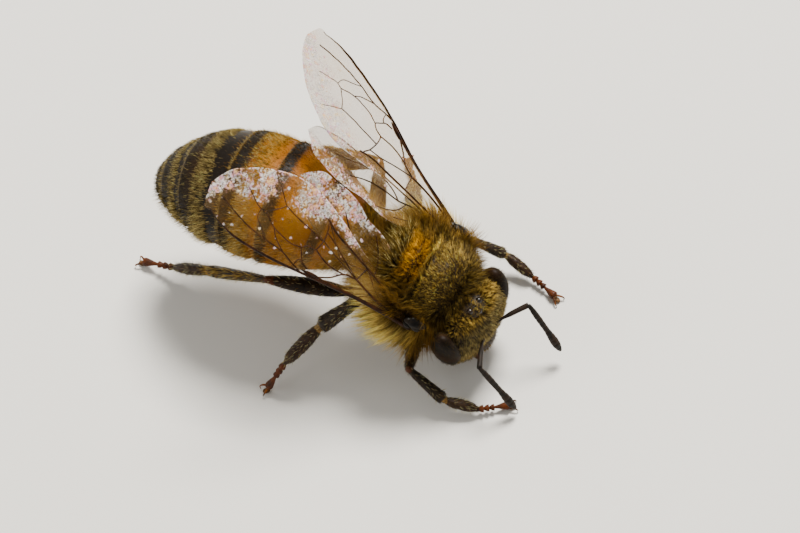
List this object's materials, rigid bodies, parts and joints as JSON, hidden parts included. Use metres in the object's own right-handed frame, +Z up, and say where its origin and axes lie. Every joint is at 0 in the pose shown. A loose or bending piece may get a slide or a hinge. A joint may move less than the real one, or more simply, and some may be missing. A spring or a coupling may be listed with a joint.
{
  "type": "honey bee",
  "caption": "Life-size worker honey bee standing head-down on the floor, furry thorax, banded abdomen, clear wings folded back, as a still museum model.",
  "frame": {"origin": "middle of the footprint's bounding box, on the floor under the feet", "axes": "+Z up, the head towards -Y, the bee's left side towards +X"},
  "size_m": [0.0116, 0.0168, 0.0104],
  "materials": {
    "furred_cuticle": "golden brown hair over black cuticle",
    "amber_cuticle": "satin amber shell with dark rear edges and fine pale hair",
    "dark_cuticle": "satin brown-black shell with fine hair",
    "brown_cuticle": "satin red-brown",
    "compound_eye": "finely faceted, glossy dark brown",
    "wing_membrane": "clear amber film with dark veins and faint rainbow glints"
  },
  "bodies": {
    "root": {"thorax_collar": "furred_cuticle", "thorax_middle": "furred_cuticle", "thorax_rear": "furred_cuticle", "head": "furred_cuticle", "eye_right": "compound_eye", "antenna_scape_right": "dark_cuticle", "antenna_flagellum_right": "dark_cuticle", "mandible_right": "brown_cuticle", "eye_left": "compound_eye", "antenna_scape_left": "dark_cuticle", "antenna_flagellum_left": "dark_cuticle", "mandible_left": "brown_cuticle", "proboscis": "brown_cuticle", "forewing_right": "wing_membrane", "hindwing_right": "wing_membrane", "tegula_right": "dark_cuticle", "forewing_left": "wing_membrane", "hindwing_left": "wing_membrane", "tegula_left": "dark_cuticle", "gaster_1": "amber_cuticle", "gaster_2": "amber_cuticle", "gaster_3": "amber_cuticle", "gaster_4": "dark_cuticle", "gaster_5": "dark_cuticle", "gaster_6": "dark_cuticle", "leg_right_front_coxa": "dark_cuticle", "leg_right_front_femur": "dark_cuticle", "leg_right_front_tibia": "dark_cuticle", "leg_right_front_basitarsus": "dark_cuticle", "leg_right_front_tarsus": "brown_cuticle", "leg_right_middle_coxa": "dark_cuticle", "leg_right_middle_femur": "dark_cuticle", "leg_right_middle_tibia": "dark_cuticle", "leg_right_middle_basitarsus": "dark_cuticle", "leg_right_middle_tarsus": "brown_cuticle", "leg_right_hind_coxa": "dark_cuticle", "leg_right_hind_femur": "dark_cuticle", "leg_right_hind_tibia": "dark_cuticle", "leg_right_hind_basitarsus": "dark_cuticle", "leg_right_hind_tarsus": "brown_cuticle", "leg_left_front_coxa": "dark_cuticle", "leg_left_front_femur": "dark_cuticle", "leg_left_front_tibia": "dark_cuticle", "leg_left_front_basitarsus": "dark_cuticle", "leg_left_front_tarsus": "brown_cuticle", "leg_left_middle_coxa": "dark_cuticle", "leg_left_middle_femur": "dark_cuticle", "leg_left_middle_tibia": "dark_cuticle", "leg_left_middle_basitarsus": "dark_cuticle", "leg_left_middle_tarsus": "brown_cuticle", "leg_left_hind_coxa": "dark_cuticle", "leg_left_hind_femur": "dark_cuticle", "leg_left_hind_tibia": "dark_cuticle", "leg_left_hind_basitarsus": "dark_cuticle", "leg_left_hind_tarsus": "brown_cuticle"}
  },
  "joints": []
}
